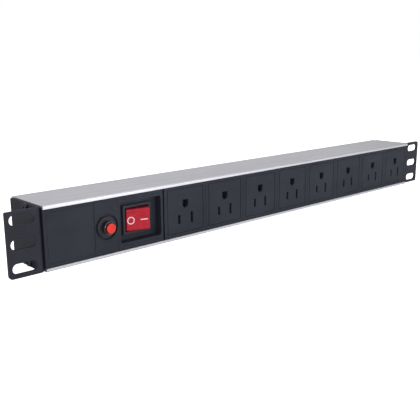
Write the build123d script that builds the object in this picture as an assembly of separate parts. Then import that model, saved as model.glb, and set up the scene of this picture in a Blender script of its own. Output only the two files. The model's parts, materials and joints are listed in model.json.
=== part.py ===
from build123d import *
import math
import os

os.makedirs("parts", exist_ok=True)

# A 19 inch, 1U rack power strip. Millimetres.
# +Z up, front at -Y, depth towards +Y, length along X.
# Origin: the middle of the rack mounting plane, which is the back face of the two ears.

# ---- driving dimensions -------------------------------------------------
RACK_WIDTH = 482.6
BODY_LENGTH = 433.0
BODY_HEIGHT = 44.4
BODY_DEPTH = 44.4
BODY_FRONT = -4.0
WALL = 1.6
BACK_WALL = 1.8

LIP_HEIGHT = 2.3
LIP_DEPTH = 2.1
RIB_FRONT = 1.1
RIB_DEPTH = 1.5
RIB_HEIGHT = 1.5
BACK_CORNER_R = 1.0
FRONT_CORNER_R = 0.9

PORT_Y = 15.5
PORT_Z = 19.0
PORT_R = 2.9
PORT_BORE_R = 1.55

EAR_THICKNESS = 2.0
EAR_BOTTOM = -22.2
EAR_TOP = 21.6
EAR_DEPTH = 38.0
BEND_R = 3.0
SLOT_X = 230.0
SLOT_PITCH = 15.875
SLOT_LENGTH = 17.5
SLOT_WIDTH = 6.8

FACE_Y = -2.8
FLANGE_Y = -1.75
PANEL_BACK = 1.0
FACE_HALF = 19.75
FLANGE_HALF = 20.45
MODULE_PITCH = 41.75
OUTLETS = 8
PANEL_GAP = 0.12
WIDE_GAP = 1.2
GROOVE_INSET = 2.8
GROOVE_WIDTH = 0.6
GROOVE_DEPTH = 0.5
PAD_INSET = 2.2
PAD_SIDE_INSET = 0.7
PAD_RAISE = 0.35

BLADE_X = 6.35
BLADE_Z = -6.7
BLADE_WIDTH = 2.0
HOT_HEIGHT = 6.6
NEUTRAL_HEIGHT = 8.4
GROUND_R = 2.7
GROUND_Z = 4.6
GROUND_FLAT_Z = 8.1
MOUTH_CHAMFER = 0.4

SKIRT_BACK = 11.2
SKIRT_HALF_X = 18.6
SKIRT_HALF_Z = 13.2
SKIRT_WALL = 1.4
BUS_FRONT = 11.6
BUS_THICKNESS = 0.8
COVER_BACK = 21.5
COVER_FRONT = 5.0
COVER_HALF_X = 19.6
COVER_WALL = 1.4
COVER_HALF_Z = SKIRT_HALF_Z + 0.15 + COVER_WALL
HOT_BUS_Z = (-13.0, -10.8)
NEUTRAL_BUS_Z = (-2.6, -0.2)
GROUND_BUS_Z = (9.6, 12.6)
BLADE_CLIP_Z = (-9.6, -3.8)
GROUND_CLIP_Z = (2.2, 8.6)
BLADE_CLIP_GAP = 1.4
GROUND_CLIP_GAP = 4.5

CONTROL_LEFT = -178.2
WELL_X = -138.9
WELL_HALF_X = 18.2
WELL_HALF_Z = 15.0
WELL_DEPTH = 7.0
WELL_CORNER_R = 1.8
WELL_WALL = 1.1
FLOOR_THICKNESS = 1.8

ROCKER_TILT = 16.0
ROCKER_PIVOT_Y = 4.2
ROCKER_FACE = 5.8
ROCKER_HALF_X = 9.2
ROCKER_HALF_Z = 8.4
ROCKER_EDGE_R = 1.3
MARK_Z = -0.4
TRUNNION_R = 1.2
FRAME_HALF_X = 12.4
FRAME_HALF_Z = 11.0
FRAME_THICKNESS = 2.2
OPENING_HALF_X = 10.6
OPENING_HALF_Z = 8.8
HOUSING_HALF_X = 11.4
HOUSING_HALF_Z = 10.0
HOUSING_BACK = 21.0
TERMINAL_X = -8.0
COMMON_TAB_END = 31.0
LIVE_TAB_END = 28.0
NEUTRAL_TAB_END = 24.5
POLE_Z = 4.0
SEESAW_DROP = 9.2
SEESAW_TILT = 12.0

BREAKER_X = -168.4
BREAKER_Z = -0.5
RECESS_R = 9.2
RECESS_DEPTH = 1.5
NUT_R = 7.5
BUSHING_R = 4.8
BUSHING_BORE_R = 3.9
BUSHING_PROUD = 4.4
BUTTON_R = 3.8
BUTTON_PROUD = 5.9
BREAKER_HALF_X = 7.7
BREAKER_HALF_Z = 13.0
BREAKER_BACK = 27.0
BREAKER_TAB_END = 31.0
BREAKER_TAB_Z = 8.0

INLET_X = -195.0
INLET_FLANGE = 2.5
INLET_HALF_X = 13.7
INLET_HALF_Z = 9.9
INLET_WALL = 1.5
INLET_WELL_DEPTH = 15.5
INLET_TAB_END = 17.0
LIVE_PIN = (7.0, -2.0)
NEUTRAL_PIN = (-7.0, -2.0)
EARTH_PIN = (0.0, 2.0)

EARTH_SCREW_X = -160.0
EARTH_SCREW_Z = 11.5

WIRE_R = 1.2
WIRE_BEND = 3.5

# ---- values worked out from them ----------------------------------------
BODY_LEFT = -BODY_LENGTH / 2
BODY_RIGHT = BODY_LENGTH / 2
BODY_BACK = BODY_FRONT + BODY_DEPTH
BODY_TOP = BODY_HEIGHT / 2
INNER_TOP = BODY_TOP - WALL
INNER_BACK = BODY_BACK - BACK_WALL
OUTLET_LEFT = BODY_RIGHT - OUTLETS * MODULE_PITCH
CONTROL_RIGHT = OUTLET_LEFT - WIDE_GAP
BUS_BACK = BUS_FRONT + BUS_THICKNESS
WELL_FLOOR = FACE_Y + WELL_DEPTH
FRAME_FRONT = WELL_FLOOR - FRAME_THICKNESS
SEESAW_Y = ROCKER_PIVOT_Y + SEESAW_DROP
INLET_FACE = BODY_BACK + INLET_FLANGE
INLET_FLOOR = INLET_FACE - INLET_WELL_DEPTH
PINS = (LIVE_PIN, NEUTRAL_PIN, EARTH_PIN)
HOT_BUS_LEFT = OUTLET_LEFT - 4.0
OTHER_BUS_LEFT = OUTLET_LEFT


# ---- helpers --------------------------------------------------------------
def block(x0, x1, y0, y1, z0, z1):
    """A box given by its two corners."""
    size = Box(x1 - x0, y1 - y0, z1 - z0)
    return Pos((x0 + x1) / 2, (y0 + y1) / 2, (z0 + z1) / 2) * size


def rod_x(x0, x1, y, z, radius):
    return Pos((x0 + x1) / 2, y, z) * Rot(0, 90, 0) * Cylinder(radius, x1 - x0)


def rod_y(x, z, y0, y1, radius):
    return Pos(x, (y0 + y1) / 2, z) * Rot(90, 0, 0) * Cylinder(radius, y1 - y0)


def rod_z(x, y, z0, z1, radius):
    return Pos(x, y, (z0 + z1) / 2) * Cylinder(radius, z1 - z0)


def along_x(sketch, x0, x1):
    """Extrudes a sketch drawn in (Y, Z) from x0 to x1."""
    return extrude(Plane.YZ.offset(x0) * sketch, amount=x1 - x0)


def along_y(sketch, y0, y1):
    """Extrudes a sketch drawn in (X, Z) from y0 to y1."""
    return extrude(Plane.XZ.offset(-y1) * sketch, amount=y1 - y0)


def along_z(sketch, z0, z1):
    """Extrudes a sketch drawn in (X, Y) from z0 to z1."""
    return extrude(Plane.XY.offset(z0) * sketch, amount=z1 - z0)


def front_edges(solid, y):
    """The edges that lie wholly in the plane at y."""
    return solid.edges().filter_by_position(Axis.Y, y - 0.01, y + 0.01)


def coil(x, z, y0, y1, radius, wire_r, turns):
    """A compression spring whose axis runs along Y."""
    height = y1 - y0 - 2 * wire_r
    path = Helix(pitch=height / turns, height=height, radius=radius)
    start = path @ 0
    ring = Plane(origin=start, z_dir=path % 0) * Circle(wire_r)
    return Pos(x, y0 + wire_r, z) * Rot(-90, 0, 0) * sweep(ring, path=path)


def wire(points, radius=WIRE_R, bend=WIRE_BEND):
    """An insulated lead: straight runs joined by tangent arcs."""
    path = FilletPolyline(*points, radius=bend)
    section = Plane(origin=path @ 0, z_dir=path % 0) * Circle(radius)
    return sweep(section, path=path)


def pan_screw(head_r, head_h, shank_r, length):
    """A pan head screw along -Z below its head, with a cross recess."""
    head = Pos(0, 0, head_h / 2) * Cylinder(head_r, head_h)
    top = head.edges().filter_by(GeomType.CIRCLE).sort_by(Axis.Z)[-1]
    head = fillet(top, head_h * 0.45)
    arm = head_r * 1.05
    slot_width = head_r * 0.26
    depth = head_h * 0.55
    cross = Pos(0, 0, head_h - depth / 2) * Box(arm, slot_width, depth)
    cross += Pos(0, 0, head_h - depth / 2) * Box(slot_width, arm, depth)
    shank = Pos(0, 0, -length / 2) * Cylinder(shank_r, length)
    tip = shank.edges().filter_by(GeomType.CIRCLE).sort_by(Axis.Z)[0]
    shank = chamfer(tip, shank_r * 0.4)
    return head - cross + shank


def save(name, shape):
    export_step(shape, "parts/" + name + ".step")


def save_group(name, shapes):
    """Writes several separate solids as one node."""
    export_step(Compound(children=list(shapes)), "parts/" + name + ".step")


# ---- housing and ears -------------------------------------------------------
def make_housing():
    """Aluminium C profile: open front with two lips, a module groove and screw ports."""
    outer = Pos((BODY_FRONT + BODY_BACK) / 2, 0) * Rectangle(BODY_DEPTH, BODY_HEIGHT)
    corners = outer.vertices().sort_by(Axis.X)
    outer = fillet(corners[2:], BACK_CORNER_R)
    corners = outer.vertices().sort_by(Axis.X)
    outer = fillet(corners[:2], FRONT_CORNER_R)
    cavity_front = BODY_FRONT - 1
    cavity_box = Rectangle(INNER_BACK - cavity_front, 2 * INNER_TOP)
    cavity = Pos((cavity_front + INNER_BACK) / 2, 0) * cavity_box
    profile = outer - cavity
    for side in (-1, 1):
        lip_mid = BODY_TOP - LIP_HEIGHT / 2
        lip = Pos(BODY_FRONT + LIP_DEPTH / 2, side * lip_mid) * Rectangle(LIP_DEPTH, LIP_HEIGHT)
        profile += lip & outer
        rib_z = INNER_TOP - RIB_HEIGHT / 2
        rib = Pos(RIB_FRONT + RIB_DEPTH / 2, side * rib_z) * Rectangle(RIB_DEPTH, RIB_HEIGHT)
        profile += rib
        profile += Pos(PORT_Y, side * PORT_Z) * Circle(PORT_R)
    for side in (-1, 1):
        profile -= Pos(PORT_Y, side * PORT_Z) * Circle(PORT_BORE_R)
    body = along_x(profile, BODY_LEFT, BODY_RIGHT)
    y0, y1 = INNER_BACK - 1, BODY_BACK + 1
    window = Rectangle(2 * INLET_HALF_X + 0.4, 2 * INLET_HALF_Z + 0.4)
    body -= along_y(Pos(INLET_X, 0) * window, y0, y1)
    body -= rod_y(EARTH_SCREW_X, EARTH_SCREW_Z, y0, y1, 2.15)
    return body


def make_left_ear():
    """Bent steel L bracket: slotted front flange and a side flange over the body's end."""
    t = EAR_THICKNESS
    outer_x = -RACK_WIDTH / 2
    inner_x = BODY_LEFT
    outline = Polyline(
        (outer_x, -t),
        (inner_x, -t),
        (inner_x, EAR_DEPTH),
        (inner_x - t, EAR_DEPTH),
        (inner_x - t, 0),
        (outer_x, 0),
        close=True,
    )
    section = make_face(outline)
    bend_out = section.vertices().sort_by_distance((inner_x, -t, 0))[0]
    section = fillet(bend_out, BEND_R)
    bend_in = section.vertices().sort_by_distance((inner_x - t, 0, 0))[0]
    section = fillet(bend_in, BEND_R - t)
    ear = along_z(section, EAR_BOTTOM, EAR_TOP)
    tips = ear.edges().filter_by(Axis.Y).filter_by_position(Axis.X, outer_x - 0.1, outer_x + 0.1)
    ear = fillet(tips.sort_by(Axis.Z)[0], 2.6)
    tips = ear.edges().filter_by(Axis.Y).filter_by_position(Axis.X, outer_x - 0.1, outer_x + 0.1)
    ear = fillet(tips.sort_by(Axis.Z)[-1], 1.0)
    ends = ear.edges().filter_by(Axis.X)
    ends = ends.filter_by_position(Axis.Y, EAR_DEPTH - 0.1, EAR_DEPTH + 0.1)
    ear = fillet(ends, 1.2)
    for row in (-1, 0, 1):
        slot = Pos(-SLOT_X, row * SLOT_PITCH) * SlotOverall(SLOT_LENGTH, SLOT_WIDTH)
        ear -= along_y(slot, -t - 1, 1)
    for side in (-1, 1):
        ear -= rod_x(inner_x - t - 1, inner_x + 1, PORT_Y, side * PORT_Z, 1.8)
    return fillet(front_edges(ear, -t), 0.3)


def make_ear_screws():
    """The two screws that hold the left ear, heads outwards at -X."""
    head_x = BODY_LEFT - EAR_THICKNESS
    screw = Rot(0, -90, 0) * pan_screw(2.8, 1.7, 1.5, 12.0)
    return [Pos(head_x, PORT_Y, side * PORT_Z) * screw for side in (-1, 1)]


# ---- face panels ---------------------------------------------------------------
def make_panel(x0, x1):
    """A moulded face plate that slides in the housing's groove behind the lips."""
    face = block(x0, x1, FACE_Y, FLANGE_Y, -FACE_HALF, FACE_HALF)
    face = fillet(front_edges(face, FACE_Y), 0.35)
    return face + block(x0, x1, FLANGE_Y, PANEL_BACK, -FLANGE_HALF, FLANGE_HALF)


def groove_loop(x0, x1, inset):
    """A fine rectangular groove set in from a panel's edges."""
    width = x1 - x0 - 2 * inset
    height = 2 * (FACE_HALF - inset + 0.4)
    ring = RectangleRounded(width, height, 0.8)
    ring -= RectangleRounded(width - 2 * GROOVE_WIDTH, height - 2 * GROOVE_WIDTH, 0.4)
    return along_y(Pos((x0 + x1) / 2, 0) * ring, FACE_Y - 1, FACE_Y + GROOVE_DEPTH)


def make_blank_panel():
    x0 = BODY_LEFT + PANEL_GAP
    x1 = CONTROL_LEFT - PANEL_GAP / 2
    half = FACE_HALF - GROOVE_INSET + 0.4
    pad = block(x0 + PAD_INSET, x1 - PAD_SIDE_INSET, FACE_Y - PAD_RAISE, FACE_Y + 0.5, -half, half)
    pad = chamfer(front_edges(pad, FACE_Y - PAD_RAISE), PAD_RAISE - 0.02)
    panel = make_panel(x0, x1) + pad
    for x in (x0 + 8, x1 - 8):
        panel += block(x - 0.8, x + 0.8, PANEL_BACK, PANEL_BACK + 5, -16, 16)
    return panel


def make_control_panel():
    """One panel with a round recess for the breaker and a deep well for the switch."""
    x0 = CONTROL_LEFT + PANEL_GAP / 2
    panel = make_panel(x0, CONTROL_RIGHT)
    cup_x, cup_z = WELL_HALF_X + WELL_WALL, WELL_HALF_Z + WELL_WALL
    back = WELL_FLOOR + FLOOR_THICKNESS
    panel += block(WELL_X - cup_x, WELL_X + cup_x, PANEL_BACK, back, -cup_z, cup_z)
    well = Pos(WELL_X, 0) * RectangleRounded(2 * WELL_HALF_X, 2 * WELL_HALF_Z, WELL_CORNER_R)
    panel -= along_y(well, FACE_Y - 1, WELL_FLOOR)
    gap = 0.15
    hx, hz = HOUSING_HALF_X + gap, HOUSING_HALF_Z + gap
    panel -= block(WELL_X - hx, WELL_X + hx, WELL_FLOOR - 1, back + 1, -hz, hz)
    panel -= rod_y(BREAKER_X, BREAKER_Z, FACE_Y - 1, FACE_Y + RECESS_DEPTH, RECESS_R)
    panel -= rod_y(BREAKER_X, BREAKER_Z, FACE_Y, PANEL_BACK + 1, BUSHING_R + 0.2)
    seam_x = OUTLET_LEFT - MODULE_PITCH
    for side in (-1, 1):
        near, far = side * (RECESS_R + 2.2), side * FACE_HALF
        z0, z1 = min(near, far), max(near, far)
        panel -= block(seam_x - 0.2, seam_x + 0.2, FACE_Y - 1, FACE_Y + 0.3, z0, z1)
        z = side * (FACE_HALF - GROOVE_INSET)
        x_in = WELL_HALF_X - 0.6
        x0, x1 = WELL_X - x_in, WELL_X + x_in
        panel -= block(x0, x1, FACE_Y - 1, FACE_Y + 0.3, z - 0.25, z + 0.25)
    return panel


def blade_slot(x, height):
    return Pos(x, BLADE_Z) * Rectangle(BLADE_WIDTH, height)


def ground_hole(x):
    """U shaped: flat on top and half round towards the blade slots."""
    round_end = Pos(x, GROUND_Z) * Circle(GROUND_R)
    middle = (GROUND_FLAT_Z + GROUND_Z) / 2
    return round_end + Pos(x, middle) * Rectangle(2 * GROUND_R, GROUND_FLAT_Z - GROUND_Z)


def make_outlet_face(x0, x1):
    """Face plate of one outlet, with its skirt and three contact chambers behind."""
    xc = x0 + MODULE_PITCH / 2
    left, right = x0 + PANEL_GAP / 2, x1 - PANEL_GAP / 2
    part = make_panel(left, right) - groove_loop(x0, x1, GROOVE_INSET)
    skirt = Rectangle(2 * SKIRT_HALF_X, 2 * SKIRT_HALF_Z)
    skirt -= Rectangle(2 * (SKIRT_HALF_X - SKIRT_WALL), 2 * (SKIRT_HALF_Z - SKIRT_WALL))
    chambers = Pos(-BLADE_X, BLADE_Z) * Rectangle(7.0, 10.8)
    chambers += Pos(BLADE_X, BLADE_Z) * Rectangle(7.0, 10.8)
    chambers += Pos(0, 5.2) * Rectangle(9.6, 11.4)
    chambers -= Pos(-BLADE_X, BLADE_Z) * Rectangle(4.8, 9.2)
    chambers -= Pos(BLADE_X, BLADE_Z) * Rectangle(4.8, 9.2)
    chambers -= Pos(0, 5.2) * Rectangle(7.4, 9.2)
    part += along_y(Pos(xc, 0) * (skirt + chambers), PANEL_BACK, SKIRT_BACK)
    holes = blade_slot(xc - BLADE_X, HOT_HEIGHT) + blade_slot(xc + BLADE_X, NEUTRAL_HEIGHT)
    holes += ground_hole(xc)
    part -= along_y(holes, FACE_Y - 1, PANEL_BACK + 0.5)
    mouth = front_edges(part, FACE_Y).filter_by_position(Axis.X, xc - 9, xc + 9)
    mouth = mouth.filter_by_position(Axis.Z, -12, 9)
    return chamfer(mouth, MOUTH_CHAMFER)


def make_outlet_cover(xc):
    """Rear cover: a channel that straddles the skirt and presses on the bus strips."""
    back_inner = COVER_BACK - COVER_WALL
    x0, x1 = xc - COVER_HALF_X, xc + COVER_HALF_X
    part = block(x0, x1, COVER_FRONT, COVER_BACK, -COVER_HALF_Z, COVER_HALF_Z)
    half = COVER_HALF_Z - COVER_WALL
    part -= block(x0 - 1, x1 + 1, COVER_FRONT - 1, back_inner, -half, half)
    for x in (-13.0, 13.0):
        part += block(xc + x - 0.7, xc + x + 0.7, BUS_BACK + 0.05, back_inner, -half, half)
    return part


# ---- conductors ------------------------------------------------------------------
def clip(x, z0, z1, gap):
    """Two spring leaves either side of a blade or pin, joined at the back."""
    leaf = 0.6
    part = block(x - gap / 2 - leaf, x - gap / 2, 2.2, BUS_BACK, z0, z1)
    part += block(x + gap / 2, x + gap / 2 + leaf, 2.2, BUS_BACK, z0, z1)
    part += block(x - gap / 2 - leaf, x + gap / 2 + leaf, BUS_FRONT, BUS_BACK, z0, z1)
    return part


def make_bus(left, z0, z1, offset, clip_z0, clip_z1, gap):
    """A brass strip along the outlets with one contact clip per outlet."""
    first = OUTLET_LEFT + MODULE_PITCH / 2
    last = first + (OUTLETS - 1) * MODULE_PITCH
    bus = block(left, last + 10, BUS_FRONT, BUS_BACK, z0, z1)
    bridge_z0, bridge_z1 = min(z0, clip_z0), max(z1, clip_z1)
    for i in range(OUTLETS):
        x = first + i * MODULE_PITCH + offset
        bus += clip(x, clip_z0, clip_z1, gap)
        bus += block(x - 1.2, x + 1.2, BUS_FRONT, BUS_BACK, bridge_z0, bridge_z1)
    return bus


# ---- rocker switch -----------------------------------------------------------------
def at_pivot(shape, angle):
    """Places a shape drawn about the pivot at the origin, turned by angle."""
    return Pos(WELL_X, ROCKER_PIVOT_Y, 0) * Rot(0, 0, angle) * shape


def mark_shapes(clearance):
    """The off ring and the on bar, drawn on the rocker's face in (X, Z)."""
    ring = Pos(-5.6, MARK_Z) * (Circle(2.85 - clearance) - Circle(2.05 + clearance))
    bar = Pos(4.7, MARK_Z) * Rectangle(5.6 - 2 * clearance, 0.85 - 2 * clearance)
    return [ring, bar]


def make_rocker():
    h = ROCKER_HALF_X
    face = -ROCKER_FACE
    outline = Polyline(
        (-h, face), (h, face), (8.7, 1.0), (5.0, 3.4), (-5.0, 3.4), (-8.7, 1.0), close=True
    )
    part = along_z(make_face(outline), -ROCKER_HALF_Z, ROCKER_HALF_Z)
    part = fillet(front_edges(part, face).filter_by(Axis.X), ROCKER_EDGE_R)
    part = fillet(front_edges(part, face).filter_by(Axis.Z), 0.6)
    for side in (-1, 1):
        near, far = side * (ROCKER_HALF_Z - 1), side * (HOUSING_HALF_Z - 0.15)
        part += rod_z(0, 0, min(near, far), max(near, far), TRUNNION_R)
        part -= rod_y(0, side * POLE_Z, -4.0, 4.0, 1.7)
    for shape in mark_shapes(0.0):
        part -= along_y(shape, face - 1, face + 0.3)
    return at_pivot(part, -ROCKER_TILT)


def make_rocker_marks():
    face = -ROCKER_FACE
    inlays = [along_y(shape, face - 0.02, face + 0.3) for shape in mark_shapes(0.02)]
    return [at_pivot(inlay, -ROCKER_TILT) for inlay in inlays]


def make_plungers():
    """One spring plunger per pole, its rounded tip just clear of the seesaw."""
    parts = []
    for side in (-1, 1):
        pin = rod_y(0, side * POLE_Z, -0.5, 8.4, 1.5)
        tip = pin.edges().filter_by(GeomType.CIRCLE).sort_by(Axis.Y)[-1]
        pin = fillet(tip, 1.2)
        parts.append(at_pivot(pin, -ROCKER_TILT))
    return parts


def make_plunger_springs():
    springs = [coil(0, side * POLE_Z, -3.9, -0.6, 1.15, 0.22, 3) for side in (-1, 1)]
    return [at_pivot(spring, -ROCKER_TILT) for spring in springs]


def make_switch_frame():
    """Bezel and housing in one piece, with bores for the rocker's trunnions."""
    fx, fz = FRAME_HALF_X, FRAME_HALF_Z
    bezel = block(-fx, fx, FRAME_FRONT, WELL_FLOOR, -fz, fz)
    bezel = fillet(front_edges(bezel, FRAME_FRONT), 0.6)
    hx, hz = HOUSING_HALF_X, HOUSING_HALF_Z
    part = bezel + block(-hx, hx, WELL_FLOOR, HOUSING_BACK, -hz, hz)
    ox, oz = OPENING_HALF_X, OPENING_HALF_Z
    part -= block(-ox, ox, FRAME_FRONT - 1, HOUSING_BACK - 1.5, -oz, oz)
    for side in (-1, 1):
        near, far = side * (oz - 0.5), side * (hz - 0.1)
        part -= rod_z(0, ROCKER_PIVOT_Y, min(near, far), max(near, far), TRUNNION_R + 0.05)
        z = side * POLE_Z
        for x in (0.0, TERMINAL_X):
            part -= block(x - 0.5, x + 0.5, HOUSING_BACK - 2, HOUSING_BACK + 1, z - 2.5, z + 2.5)
        x0, x1 = sorted((side * hx, side * (hx + 0.9)))
        part += block(x0, x1, WELL_FLOOR + FLOOR_THICKNESS + 0.1, 9.0, -4, 4)
    return Pos(WELL_X, 0, 0) * part


def make_seesaws():
    """One moving contact per pole: a strip that rocks on the middle terminal."""
    parts = []
    for side in (-1, 1):
        z = side * POLE_Z
        strip = block(-6.5, 6.5, -0.4, 0.4, z - 2.2, z + 2.2)
        strip += rod_y(-5.2, z, 0.4, 1.2, 1.3)
        place = Pos(WELL_X, SEESAW_Y, 0) * Rot(0, 0, SEESAW_TILT)
        parts.append(place * strip)
    return parts


def make_switch_terminals():
    """Per pole a common terminal with the fulcrum and a fixed contact at its left."""
    parts = []
    tip_y = SEESAW_Y + 0.55
    contact_y = SEESAW_Y + 2.65
    for side, tab_end in ((-1, NEUTRAL_TAB_END), (1, LIVE_TAB_END)):
        z0, z1 = side * POLE_Z - 2.4, side * POLE_Z + 2.4
        common = block(-0.4, 0.4, tip_y, COMMON_TAB_END, z0, z1)
        fixed = block(TERMINAL_X - 0.4, TERMINAL_X + 0.4, contact_y, tab_end, z0, z1)
        fixed += block(TERMINAL_X - 0.4, TERMINAL_X + 4.4, contact_y, contact_y + 0.8, z0, z1)
        parts.append(Pos(WELL_X, 0, 0) * common)
        parts.append(Pos(WELL_X, 0, 0) * fixed)
    return parts


# ---- resettable breaker ---------------------------------------------------------------
# Drawn with its axis at Z = 0 and lowered to BREAKER_Z when it is saved.
def make_breaker_case():
    """Case open at the back, with a threaded bushing through the panel."""
    hx, hz = BREAKER_HALF_X, BREAKER_HALF_Z
    x = BREAKER_X
    part = block(x - hx, x + hx, PANEL_BACK, BREAKER_BACK, -hz, hz)
    ix, iz = hx - 1.3, hz - 1.3
    part -= block(x - ix, x + ix, PANEL_BACK + 1.4, BREAKER_BACK + 1, -iz, iz)
    front = FACE_Y - BUSHING_PROUD
    part += rod_y(x, 0, front, PANEL_BACK + 1.4, BUSHING_R)
    part -= rod_y(x, 0, front - 1, PANEL_BACK + 2, BUSHING_BORE_R)
    guide = block(x - hx + 1.3, x + hx - 1.3, 12.6, 13.6, -7, 7)
    part += guide - rod_y(x, 0, 12, 15, 2.3)
    return fillet(front_edges(part, front), 0.42)


def make_breaker_cover():
    """Back cover of the breaker, slotted for its two terminals."""
    hx, hz = BREAKER_HALF_X, BREAKER_HALF_Z
    part = block(BREAKER_X - hx, BREAKER_X + hx, BREAKER_BACK, BREAKER_BACK + 1.4, -hz, hz)
    for side in (-1, 1):
        z = side * BREAKER_TAB_Z
        part -= block(BREAKER_X - 3.3, BREAKER_X + 3.3, BREAKER_BACK - 1, 30, z - 0.5, z + 0.5)
    return part


def make_breaker_nut():
    """Round ring nut that clamps the breaker from the front."""
    y0, y1 = FACE_Y - 0.4, FACE_Y + RECESS_DEPTH
    part = rod_y(BREAKER_X, 0, y0, y1, NUT_R)
    part = fillet(front_edges(part, y0), 0.6)
    return part - rod_y(BREAKER_X, 0, y0 - 1, y1 + 1, BUSHING_R + 0.03)


def make_reset_button():
    """Button cap, stem and the collar that stops it under the bushing."""
    front = FACE_Y - BUTTON_PROUD
    cap = rod_y(BREAKER_X, 0, front, -1.0, BUTTON_R)
    cap = fillet(front_edges(cap, front), 0.7)
    part = cap + rod_y(BREAKER_X, 0, -1.0, 19.4, 1.9)
    return part + rod_y(BREAKER_X, 0, 6.2, 7.6, 4.6)


def make_contact_bar():
    """Bridge across the two fixed contacts, carried by the stem."""
    bar = block(BREAKER_X - 2.6, BREAKER_X + 2.6, 17.9, 19.1, -9.0, 9.0)
    return bar - rod_y(BREAKER_X, 0, 17, 20, 1.92)


def make_breaker_terminals():
    parts = []
    for side in (-1, 1):
        z = side * BREAKER_TAB_Z
        tab = block(BREAKER_X - 3.1, BREAKER_X + 3.1, 19.3, BREAKER_TAB_END, z - 0.4, z + 0.4)
        z0, z1 = sorted((side * 6.4, z))
        tab += block(BREAKER_X - 3.1, BREAKER_X + 3.1, 19.3, 20.1, z0, z1)
        parts.append(tab)
    return parts


# ---- inlet and earth -------------------------------------------------------------------
def inlet_section(grow):
    """The socket's outline: a rectangle with two corners cut off on its earth side."""
    hx, hz = INLET_HALF_X - INLET_WALL + grow, INLET_HALF_Z - INLET_WALL + grow
    cut = 3.6
    outline = Polyline(
        (-hx, -hz),
        (hx, -hz),
        (hx, hz - cut),
        (hx - cut, hz),
        (cut - hx, hz),
        (-hx, hz - cut),
        close=True,
    )
    return make_face(outline)


def make_inlet_shell():
    """Snap-in socket: flange outside the back wall, well inside it."""
    flange = along_y(RectangleRounded(31.0, 23.0, 3.0), BODY_BACK, INLET_FACE)
    flange = fillet(front_edges(flange, INLET_FACE), 0.6)
    inner_front = INLET_FLOOR - 2.0
    part = flange + along_y(inlet_section(INLET_WALL), inner_front, BODY_BACK)
    part -= along_y(inlet_section(0), INLET_FLOOR, INLET_FACE + 1)
    for side in (-1, 1):
        x0, x1 = sorted((side * (INLET_HALF_X - 0.4), side * (INLET_HALF_X + 0.9)))
        part += block(x0, x1, INNER_BACK - 4.0, INNER_BACK - 0.1, -3.5, 3.5)
    for x, z in PINS:
        part -= block(x - 1.0, x + 1.0, inner_front - 1, INLET_FLOOR + 1, z - 2.0, z + 2.0)
    return Pos(INLET_X, 0, 0) * part


def make_inlet_pins():
    """Two poles and the longer earth pin, each with a solder tab at the back."""
    parts = []
    for x, z in PINS:
        end = INLET_FACE - (1.5 if x == 0 else 2.5)
        pin = block(x - 1.0, x + 1.0, INLET_FLOOR - 2.0, end, z - 2.0, z + 2.0)
        pin = chamfer(front_edges(pin, end), 0.4)
        pin += block(x - 0.4, x + 0.4, INLET_TAB_END, INLET_FLOOR - 2.0, z - 2.0, z + 2.0)
        parts.append(Pos(INLET_X, 0, 0) * pin)
    return parts


def make_earth_screw():
    screw = Rot(-90, 0, 0) * pan_screw(3.9, 2.4, 2.0, 9.0)
    return Pos(EARTH_SCREW_X, BODY_BACK, EARTH_SCREW_Z) * screw


def make_earth_nut():
    y1 = INNER_BACK - 1.0
    ring = RegularPolygon(7.0 / math.sqrt(3), 6) - Circle(2.02)
    return along_y(Pos(EARTH_SCREW_X, EARTH_SCREW_Z) * ring, y1 - 3.2, y1)


def make_earth_lug():
    """Double ended ring terminal under the nut, inside the back wall."""
    x, z = EARTH_SCREW_X, EARTH_SCREW_Z
    y0, y1 = INNER_BACK - 1.0, INNER_BACK
    ring = rod_y(x, z, y0, y1, 4.2) + block(x - 12.0, x + 12.0, y0, y1, z - 1.6, z + 1.6)
    return ring - rod_y(x, z, y0 - 1, y1 + 1, 2.1)


def make_insulating_sheet():
    """Thin sheet on the back wall, behind the outlet covers."""
    centre = (OUTLET_LEFT + BODY_RIGHT) / 2
    outline = Pos(centre, 0) * RectangleRounded(BODY_RIGHT - OUTLET_LEFT - 4, 34.0, 2.0)
    return along_y(outline, INNER_BACK - 0.5, INNER_BACK)


# ---- leads -----------------------------------------------------------------------------
def from_inlet(pin, y):
    """The solder tab's end face and the point straight in front of it."""
    x, z = INLET_X + pin[0], pin[1]
    return [(x, INLET_TAB_END - 0.05, z), (x, y, z)]


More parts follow.
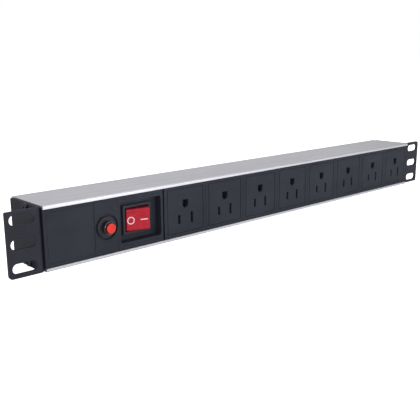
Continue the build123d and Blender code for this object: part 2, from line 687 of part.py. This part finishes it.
def lead_routes():
    """Corner points of every internal lead."""
    column = -178.3
    back = 36.6
    bus_y = (BUS_FRONT + BUS_BACK) / 2
    live_x = WELL_X + TERMINAL_X
    hot_x, other_x = HOT_BUS_LEFT - 0.05, OTHER_BUS_LEFT - 0.05
    hot_column, other_column = hot_x - 4.05, other_x - 4.05
    hot_z = (HOT_BUS_Z[0] + HOT_BUS_Z[1]) / 2
    neutral_z = (NEUTRAL_BUS_Z[0] + NEUTRAL_BUS_Z[1]) / 2
    line_z, load_z = BREAKER_Z + BREAKER_TAB_Z, BREAKER_Z - BREAKER_TAB_Z
    earth_y = INNER_BACK - 1.4
    earth_z = EARTH_SCREW_Z
    routes = {}
    routes["lead_inlet_to_breaker"] = from_inlet(LIVE_PIN, 12) + [
        (column, 12, LIVE_PIN[1]),
        (column, 12, line_z),
        (column, back, line_z),
        (BREAKER_X, back, line_z),
        (BREAKER_X, BREAKER_TAB_END + 0.05, line_z),
    ]
    routes["lead_breaker_to_switch"] = [
        (BREAKER_X, BREAKER_TAB_END + 0.05, load_z),
        (BREAKER_X, back, load_z),
        (-156.0, back, load_z),
        (-156.0, back, POLE_Z),
        (WELL_X, back, POLE_Z),
        (WELL_X, COMMON_TAB_END + 0.05, POLE_Z),
    ]
    routes["lead_inlet_to_switch"] = from_inlet(NEUTRAL_PIN, 9) + [
        (INLET_X + NEUTRAL_PIN[0], 9, -14.5),
        (column, 9, -14.5),
        (column, back, -14.5),
        (-152.0, back, -14.5),
        (-152.0, back, -POLE_Z),
        (WELL_X, back, -POLE_Z),
        (WELL_X, COMMON_TAB_END + 0.05, -POLE_Z),
    ]
    routes["lead_switch_to_hot_bus"] = [
        (live_x, LIVE_TAB_END + 0.05, POLE_Z),
        (live_x, 32.3, POLE_Z),
        (live_x, 32.3, 12.5),
        (hot_column, 32.3, 12.5),
        (hot_column, 32.3, hot_z),
        (hot_column, bus_y, hot_z),
        (hot_x, bus_y, hot_z),
    ]
    routes["lead_switch_to_neutral_bus"] = [
        (live_x, NEUTRAL_TAB_END + 0.05, -POLE_Z),
        (live_x, 28.2, -POLE_Z),
        (live_x, 28.2, -14.5),
        (other_column, 28.2, -14.5),
        (other_column, 28.2, neutral_z),
        (other_column, bus_y, neutral_z),
        (other_x, bus_y, neutral_z),
    ]
    routes["lead_inlet_to_earth"] = from_inlet(EARTH_PIN, 11) + [
        (INLET_X, 11, earth_z),
        (-183.0, 11, earth_z),
        (-183.0, earth_y, earth_z),
        (EARTH_SCREW_X - 12.05, earth_y, earth_z),
    ]
    routes["lead_earth_to_bus"] = [
        (EARTH_SCREW_X + 12.05, earth_y, earth_z),
        (other_column, earth_y, earth_z),
        (other_column, bus_y, earth_z),
        (other_x, bus_y, earth_z),
    ]
    return routes


# ---- build every node ------------------------------------------------------------------
turn_end_for_end = Rot(0, 180, 0)

save("housing_extrusion", make_housing())
left_ear = make_left_ear()
save("left_rack_ear", left_ear)
save("right_rack_ear", turn_end_for_end * left_ear)
ear_screws = make_ear_screws()
save_group("left_ear_screws", ear_screws)
save_group("right_ear_screws", [turn_end_for_end * screw for screw in ear_screws])

save("blank_panel", make_blank_panel())
save("control_panel", make_control_panel())
for i in range(OUTLETS):
    left = OUTLET_LEFT + i * MODULE_PITCH
    save(f"outlet_face_{i + 1}", make_outlet_face(left, left + MODULE_PITCH))
    save(f"outlet_cover_{i + 1}", make_outlet_cover(left + MODULE_PITCH / 2))

save("hot_bus", make_bus(HOT_BUS_LEFT, *HOT_BUS_Z, -BLADE_X, *BLADE_CLIP_Z, BLADE_CLIP_GAP))
neutral_clips = (BLADE_X, *BLADE_CLIP_Z, BLADE_CLIP_GAP)
save("neutral_bus", make_bus(OTHER_BUS_LEFT, *NEUTRAL_BUS_Z, *neutral_clips))
ground_clips = (0.0, *GROUND_CLIP_Z, GROUND_CLIP_GAP)
save("ground_bus", make_bus(OTHER_BUS_LEFT, *GROUND_BUS_Z, *ground_clips))

save("switch_frame", make_switch_frame())
save("rocker", make_rocker())
save_group("rocker_marks", make_rocker_marks())
save_group("rocker_plungers", make_plungers())
save_group("plunger_springs", make_plunger_springs())
save_group("moving_contacts", make_seesaws())
save_group("switch_terminals", make_switch_terminals())

lower = Pos(0, 0, BREAKER_Z)
save("breaker_case", lower * make_breaker_case())
save("breaker_cover", lower * make_breaker_cover())
save("breaker_ring_nut", lower * make_breaker_nut())
save("reset_button", lower * make_reset_button())
save("breaker_contact_bar", lower * make_contact_bar())
save_group("breaker_terminals", [lower * tab for tab in make_breaker_terminals()])

save("inlet_shell", make_inlet_shell())
save_group("inlet_pins", make_inlet_pins())
save("earth_screw", make_earth_screw())
save("earth_nut", make_earth_nut())
save("earth_lug", make_earth_lug())
save("insulating_sheet", make_insulating_sheet())
for name, route in lead_routes().items():
    save(name, wire(route))
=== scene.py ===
"""Materials, floor, light and camera for the rack power strip. All shapes are the CAD's own meshes."""

import json
import math

import bpy
from mathutils import Matrix, Vector


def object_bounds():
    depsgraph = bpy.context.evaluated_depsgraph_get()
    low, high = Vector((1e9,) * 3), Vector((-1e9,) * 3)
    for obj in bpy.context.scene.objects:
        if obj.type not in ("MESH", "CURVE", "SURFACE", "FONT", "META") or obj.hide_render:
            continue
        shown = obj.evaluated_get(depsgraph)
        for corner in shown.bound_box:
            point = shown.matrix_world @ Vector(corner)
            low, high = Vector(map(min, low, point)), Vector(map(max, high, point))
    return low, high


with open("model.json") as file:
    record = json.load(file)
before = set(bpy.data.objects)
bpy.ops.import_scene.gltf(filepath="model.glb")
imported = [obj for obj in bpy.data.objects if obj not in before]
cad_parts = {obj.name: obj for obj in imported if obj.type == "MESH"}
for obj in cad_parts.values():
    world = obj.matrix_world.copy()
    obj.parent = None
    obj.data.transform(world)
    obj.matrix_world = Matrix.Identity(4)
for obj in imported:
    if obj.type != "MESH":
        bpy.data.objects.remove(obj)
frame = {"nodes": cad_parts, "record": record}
cad_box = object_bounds()
nodes = frame["nodes"]
MM = 0.001
WHITE = (1, 1, 1, 1)
NO_STRETCH = (1, 1, 1)

# Sockets of the Mix node when it mixes colours.
MIX_FACTOR, MIX_A, MIX_B = 0, 6, 7
MIX_RESULT = 2


# ---- small helpers -----------------------------------------------------------
def srgb(r, g, b):
    """A 0-255 display colour as the linear colour that a shader takes."""

    def linear(v):
        v /= 255.0
        return v / 12.92 if v <= 0.04045 else ((v + 0.055) / 1.055) ** 2.4

    return (linear(r), linear(g), linear(b), 1.0)


class Nodes:
    """A short way to write one material's node tree."""

    def __init__(self, name):
        self.material = bpy.data.materials.new(name)
        self.material.use_nodes = True
        self.tree = self.material.node_tree
        self.shader = self.tree.nodes["Principled BSDF"]

    def add(self, kind, **settings):
        node = self.tree.nodes.new(kind)
        for key, value in settings.items():
            setattr(node, key, value)
        return node

    def link(self, source, target):
        self.tree.links.new(source, target)

    def coordinates(self, stretch):
        """Object coordinates, scaled along each axis by stretch. A small value draws out long marks."""
        place = self.add("ShaderNodeTexCoord")
        mapping = self.add("ShaderNodeMapping")
        mapping.inputs["Scale"].default_value = stretch
        self.link(place.outputs["Object"], mapping.inputs["Vector"])
        return mapping.outputs["Vector"]

    def noise(self, scale, detail, stretch=NO_STRETCH, roughness=0.5):
        """Noise with about scale cells to the metre."""
        node = self.add("ShaderNodeTexNoise")
        node.inputs["Scale"].default_value = scale
        node.inputs["Detail"].default_value = detail
        node.inputs["Roughness"].default_value = roughness
        self.link(self.coordinates(stretch), node.inputs["Vector"])
        return node.outputs["Fac"]

    def two_tone(self, fac, dark, light, start=0.3, end=0.7):
        """A colour that goes from dark to light while fac goes from start to end."""
        node = self.add("ShaderNodeValToRGB")
        first, last = node.color_ramp.elements
        first.position, first.color = start, dark
        last.position, last.color = end, light
        self.link(fac, node.inputs["Fac"])
        return node.outputs["Color"]

    def span(self, fac, low, high, start=0.0, end=1.0):
        """A value that goes from low to high while fac goes from start to end."""
        node = self.add("ShaderNodeMapRange")
        node.inputs["From Min"].default_value = start
        node.inputs["From Max"].default_value = end
        node.inputs["To Min"].default_value = low
        node.inputs["To Max"].default_value = high
        self.link(fac, node.inputs["Value"])
        return node.outputs["Result"]

    def multiply(self, a, b):
        node = self.add("ShaderNodeMath", operation="MULTIPLY")
        self.link(a, node.inputs[0])
        self.link(b, node.inputs[1])
        return node.outputs[0]

    def mix(self, fac, a, b, blend="MIX"):
        """Mixes a and b by fac. Each of the three is a constant or another node's output."""
        node = self.add("ShaderNodeMix", data_type="RGBA", blend_type=blend)
        for socket, value in ((MIX_FACTOR, fac), (MIX_A, a), (MIX_B, b)):
            if isinstance(value, (int, float, tuple)):
                node.inputs[socket].default_value = value
            else:
                self.link(value, node.inputs[socket])
        return node.outputs[MIX_RESULT]

    def rounded(self, radius):
        """The normal that the surface would have with its edges rounded by radius."""
        node = self.add("ShaderNodeBevel", samples=6)
        node.inputs["Radius"].default_value = radius
        return node.outputs["Normal"]

    def dot(self, a, b):
        """The dot product of the output a and b, which is an output or a constant vector."""
        node = self.add("ShaderNodeVectorMath", operation="DOT_PRODUCT")
        self.link(a, node.inputs[0])
        if isinstance(b, tuple):
            node.inputs[1].default_value = b
        else:
            self.link(b, node.inputs[1])
        return node.outputs["Value"]

    def bump(self, layers, normal=None):
        """layers are (height output, strength, distance), coarse first, on top of normal."""
        for height, strength, distance in layers:
            node = self.add("ShaderNodeBump")
            node.inputs["Strength"].default_value = strength
            node.inputs["Distance"].default_value = distance
            self.link(height, node.inputs["Height"])
            if normal is not None:
                self.link(normal, node.inputs["Normal"])
            normal = node.outputs["Normal"]
        self.link(normal, self.shader.inputs["Normal"])

    def set(self, **values):
        """Sets uniform values on the shader's own sockets."""
        for key, value in values.items():
            self.shader.inputs[key.replace("_", " ")].default_value = value


def worn_edges(m, base, edge, radius, amount):
    """Mixes patches of edge over base along edges. Returns the colour and the rounded normal."""
    rounded = m.rounded(radius)
    geometry = m.add("ShaderNodeNewGeometry")
    flatness = m.dot(rounded, geometry.outputs["Normal"])
    mask = m.span(flatness, amount, 0.0, start=0.8, end=0.98)
    patchy = m.noise(scale=300.0, detail=2.0)
    mask = m.multiply(mask, m.span(patchy, 0.3, 1.0, start=0.35, end=0.65))
    return m.mix(mask, base, edge), rounded


# ---- materials -----------------------------------------------------------------
def anodised_aluminium():
    """Extruded and brushed along X: long fine lines, broad streaks and faint cloudiness."""
    m = Nodes("anodised_aluminium")
    lines = m.noise(scale=900.0, detail=3.0, stretch=(0.012, 1, 1), roughness=0.6)
    streaks = m.noise(scale=220.0, detail=2.0, stretch=(0.01, 1, 1))
    clouds = m.noise(scale=14.0, detail=3.0)
    tone = m.two_tone(lines, srgb(222, 221, 226), srgb(238, 237, 242))
    broad = m.two_tone(streaks, srgb(224, 223, 229), srgb(236, 236, 240), start=0.35)
    colour = m.mix(0.5, tone, broad)
    cloudy = m.two_tone(clouds, (0.93, 0.93, 0.95, 1), WHITE)
    m.link(m.mix(1.0, colour, cloudy, "MULTIPLY"), m.shader.inputs["Base Color"])
    m.link(m.span(lines, 0.3, 0.42), m.shader.inputs["Roughness"])
    m.set(Metallic=0.9)
    m.bump([(streaks, 0.05, 0.06 * MM), (lines, 0.12, 0.03 * MM)])
    return m.material


def powder_coat():
    """Charcoal powder coat on the steel ears: fine orange peel and lighter worn edges."""
    m = Nodes("charcoal_powder_coat")
    peel = m.noise(scale=1400.0, detail=2.0)
    speck = m.noise(scale=5200.0, detail=1.0)
    patch = m.noise(scale=35.0, detail=3.0)
    colour = m.two_tone(patch, srgb(38, 38, 46), srgb(46, 47, 57))
    specks = m.span(speck, 0.0, 0.3, start=0.55, end=0.75)
    colour = m.mix(specks, colour, srgb(54, 55, 68))
    colour, rounded = worn_edges(m, colour, srgb(120, 120, 128), radius=0.4 * MM, amount=0.6)
    m.link(colour, m.shader.inputs["Base Color"])
    m.link(m.span(peel, 0.42, 0.6), m.shader.inputs["Roughness"])
    m.set(Specular_IOR_Level=0.16)
    m.bump([(peel, 0.25, 0.06 * MM), (speck, 0.15, 0.02 * MM)], rounded)
    return m.material


def moulded(
    name, dark, light, edge, rough=(0.4, 0.55), grain_scale=2600.0, grain_strength=0.22, gloss=0.15
):
    """Moulded plastic with a fine grain, flow marks and lighter edges."""
    m = Nodes(name)
    grain = m.noise(scale=grain_scale, detail=2.0)
    flow = m.noise(scale=40.0, detail=3.0, stretch=(0.5, 1, 1))
    colour = m.two_tone(flow, dark, light)
    specks = m.span(grain, 0.0, 0.18, start=0.5, end=0.75)
    colour = m.mix(specks, colour, edge)
    colour, rounded = worn_edges(m, colour, edge, radius=0.25 * MM, amount=0.5)
    m.link(colour, m.shader.inputs["Base Color"])
    m.link(m.span(grain, *rough), m.shader.inputs["Roughness"])
    m.set(Specular_IOR_Level=gloss)
    m.bump([(flow, 0.05, 0.2 * MM), (grain, grain_strength, 0.04 * MM)], rounded)
    return m.material


def translucent_red(name, dark, light, painted_side_shade, facing):
    """Tinted glossy red plastic. Faces turned away from facing get painted shade: they blend to a
    darker shade colour.
    """
    m = Nodes(name)
    depth = m.noise(scale=260.0, detail=3.0)
    fine = m.noise(scale=3200.0, detail=2.0)
    front = m.two_tone(depth, dark, light)
    place = m.add("ShaderNodeTexCoord")
    # Painted shade: faces turned away from facing blend from the front colour to the darker shade
    # colour.
    towards = m.span(m.dot(place.outputs["Normal"], facing), 0.0, 1.0, start=0.72, end=0.97)
    colour = m.mix(towards, painted_side_shade, front)
    m.link(colour, m.shader.inputs["Base Color"])
    m.link(m.span(fine, 0.16, 0.3), m.shader.inputs["Roughness"])
    m.set(Subsurface_Weight=0.1, Subsurface_Radius=(0.002, 0.0004, 0.0003))
    m.set(Coat_Weight=0.05, Coat_Roughness=0.12, Specular_IOR_Level=0.22)
    m.bump([(depth, 0.03, 0.2 * MM), (fine, 0.06, 0.02 * MM)])
    return m.material


def metal(name, dark, light, rough=(0.22, 0.4), stretch=NO_STRETCH):
    """Plated or bare metal with tarnish patches and fine tooling marks."""
    m = Nodes(name)
    marks = m.noise(scale=1200.0, detail=3.0, stretch=stretch)
    patch = m.noise(scale=180.0, detail=4.0)
    m.link(m.two_tone(patch, dark, light), m.shader.inputs["Base Color"])
    m.link(m.span(marks, *rough), m.shader.inputs["Roughness"])
    m.set(Metallic=1.0)
    m.bump([(marks, 0.12, 0.03 * MM)])
    return m.material


# The rocker at rest leans this far towards -X. The button looks straight out of the front.
ROCKER_TILT = math.radians(16)
# The red materials paint shade on faces turned away from these directions.
ROCKER_FACING = (-math.sin(ROCKER_TILT), -math.cos(ROCKER_TILT), 0.0)
BUTTON_FACING = (0.0, -1.0, 0.0)
VINYL = {"rough": (0.45, 0.6), "grain_scale": 900.0}

face_plastic = moulded(
    "charcoal_face_plastic", srgb(38, 40, 47), srgb(46, 49, 59), srgb(70, 74, 86)
)
# Set lighter than the face plastic: painted light for the switch frame and ring nut, which sit in dark
# recesses.
black_plastic = moulded(
    "black_plastic", srgb(46, 45, 52), srgb(54, 53, 61), srgb(78, 78, 88), rough=(0.3, 0.44)
)
white_plastic = moulded(
    "white_plastic",
    srgb(226, 196, 200),
    srgb(238, 210, 214),
    srgb(246, 226, 228),
    rough=(0.3, 0.42),
)
sheet_plastic = moulded(
    "fibre_sheet", srgb(206, 200, 182), srgb(222, 216, 198), srgb(232, 228, 212)
)
aluminium = anodised_aluminium()
ear_paint = powder_coat()
# The third colour of each red is painted shade for the rim, sides and top.
rocker_red = translucent_red(
    "rocker_red", srgb(166, 24, 40), srgb(184, 32, 50), srgb(124, 6, 22), ROCKER_FACING
)
button_red = translucent_red(
    "button_red", srgb(216, 54, 46), srgb(230, 70, 60), srgb(124, 10, 12), BUTTON_FACING
)
glossy_black = moulded(
    "glossy_black_plastic",
    srgb(26, 25, 30),
    srgb(34, 33, 39),
    srgb(96, 96, 106),
    rough=(0.14, 0.24),
    grain_strength=0.08,
    gloss=1.0,
)
black_steel = metal(
    "black_oxide_steel", srgb(66, 66, 72), srgb(88, 88, 96), rough=(0.45, 0.6)
)
zinc = metal("zinc_plated_steel", srgb(168, 168, 172), srgb(196, 196, 200))
brass = metal("brass", srgb(176, 140, 76), srgb(212, 176, 108), stretch=(0.05, 1, 1))
lead_black = moulded(
    "black_vinyl", srgb(20, 20, 22), srgb(32, 32, 34), srgb(60, 60, 62), **VINYL
)
lead_white = moulded(
    "white_vinyl", srgb(214, 212, 206), srgb(230, 228, 222), srgb(240, 240, 236), **VINYL
)
lead_green = moulded(
    "green_vinyl", srgb(22, 92, 44), srgb(32, 116, 56), srgb(80, 150, 92), **VINYL
)

BY_SLOT = {
    "aluminium_body": aluminium,
    "ear_paint": ear_paint,
    "steel": zinc,
    "black_steel": black_steel,
    "face_plastic": face_plastic,
    "black_plastic": black_plastic,
    "red_plastic": rocker_red,
    "white_plastic": white_plastic,
    "brass": brass,
    "sheet_plastic": sheet_plastic,
    "black_lead": lead_black,
    "white_lead": lead_white,
    "green_lead": lead_green,
}
for part in frame["record"]["subparts"]:
    mesh = nodes[part["node"]].data
    mesh.materials.clear()
    mesh.materials.append(BY_SLOT[part["material_slot"]])
nodes["reset_button"].data.materials[0] = button_red
nodes["breaker_case"].data.materials[0] = glossy_black


# ---- camera, floor and light ------------------------------------------------------
# Angles are in radians, and the lens and sensor in millimetres.
CAMERA_PLACE = Vector((-404.76, -368.83, 113.5)) * MM
CAMERA_YAW = 0.7386
CAMERA_PITCH = 0.2336
CAMERA_ROLL = -0.0067
CAMERA_LENS = 54.873
CAMERA_SENSOR = 36.0
CAMERA_NEAR = 0.01
CAMERA_FAR = 50.0

FLOOR_HALF_SIZE = 20.0

# The strength of the world as a light. The camera sees it as plain white.
WORLD_LIGHT = 0.4
WORLD_COLOUR = (0.97, 0.98, 1, 1)

# Name, place, target, width and height in metres, and power in watts.
LIGHTS = (
    ("key", (-0.9, -2.3, 0.22), (0, 0, 0), (1.6, 0.4), 22.0),
    ("overhead", (0.0, -0.25, 1.6), (0, 0, 0), (2.2, 1.4), 12.0),
    ("fill", (0.2, -0.62, 0.08), (0.1, 0, 0), (0.5, 0.18), 1.1),
    ("back", (1.0, 1.5, 1.3), (0, 0, 0), (1.8, 0.8), 3.0),
)


def make_camera():
    """Yaw turns the view from +Y towards +X, and pitch tips it down."""
    data = bpy.data.cameras.new("camera")
    data.lens = CAMERA_LENS
    data.sensor_width = CAMERA_SENSOR
    data.clip_start = CAMERA_NEAR
    data.clip_end = CAMERA_FAR
    camera = bpy.data.objects.new("camera", data)
    cy, sy = math.cos(CAMERA_YAW), math.sin(CAMERA_YAW)
    cp, sp = math.cos(CAMERA_PITCH), math.sin(CAMERA_PITCH)
    ahead = Vector((sy * cp, cy * cp, -sp))
    right = Vector((cy, -sy, 0.0))
    up = right.cross(ahead)
    cr, sr = math.cos(CAMERA_ROLL), math.sin(CAMERA_ROLL)
    rolled_right = cr * right + sr * up
    rolled_up = -sr * right + cr * up
    turn = Matrix((rolled_right, rolled_up, -ahead)).transposed().to_4x4()
    camera.matrix_world = Matrix.Translation(CAMERA_PLACE) @ turn
    bpy.context.scene.collection.objects.link(camera)
    bpy.context.scene.camera = camera


def make_floor():
    """A pale floor under the part. It glows white to the camera and lights nothing."""
    low = cad_box[0].z
    size = FLOOR_HALF_SIZE
    corners = [(-size, -size, low), (size, -size, low), (size, size, low), (-size, size, low)]
    mesh = bpy.data.meshes.new("floor")
    mesh.from_pydata(corners, [], [(0, 1, 2, 3)])
    floor = bpy.data.objects.new("floor", mesh)
    bpy.context.scene.collection.objects.link(floor)
    m = Nodes("pale_floor")
    grain = m.noise(scale=60.0, detail=3.0)
    pale = m.two_tone(grain, (0.9, 0.9, 0.9, 1), (0.93, 0.93, 0.93, 1))
    m.link(pale, m.shader.inputs["Base Color"])
    m.set(Roughness=0.8, Specular_IOR_Level=0.2, Emission_Color=WHITE)
    ray = m.add("ShaderNodeLightPath")
    m.link(ray.outputs["Is Camera Ray"], m.shader.inputs["Emission Strength"])
    mesh.materials.append(m.material)


def make_world():
    world = bpy.data.worlds.new("studio")
    world.use_nodes = True
    tree = world.node_tree
    seen = tree.nodes["Background"]
    seen.inputs["Strength"].default_value = 1.0
    seen.inputs["Color"].default_value = WHITE
    lit = tree.nodes.new("ShaderNodeBackground")
    lit.inputs["Strength"].default_value = WORLD_LIGHT
    lit.inputs["Color"].default_value = WORLD_COLOUR
    ray = tree.nodes.new("ShaderNodeLightPath")
    mix = tree.nodes.new("ShaderNodeMixShader")
    tree.links.new(ray.outputs["Is Camera Ray"], mix.inputs[0])
    tree.links.new(lit.outputs[0], mix.inputs[1])
    tree.links.new(seen.outputs[0], mix.inputs[2])
    tree.links.new(mix.outputs[0], tree.nodes["World Output"].inputs["Surface"])
    bpy.context.scene.world = world


def area_light(name, place, target, size, power):
    data = bpy.data.lights.new(name, "AREA")
    data.shape = "RECTANGLE"
    data.size, data.size_y = size
    data.energy = power
    light = bpy.data.objects.new(name, data)
    light.location = place
    light.visible_camera = False
    aim = Vector(target) - Vector(place)
    light.rotation_mode = "QUATERNION"
    light.rotation_quaternion = aim.to_track_quat("-Z", "Y")
    bpy.context.scene.collection.objects.link(light)


make_camera()
make_floor()
make_world()
for light_settings in LIGHTS:
    area_light(*light_settings)
bpy.context.scene.view_settings.view_transform = "Standard"
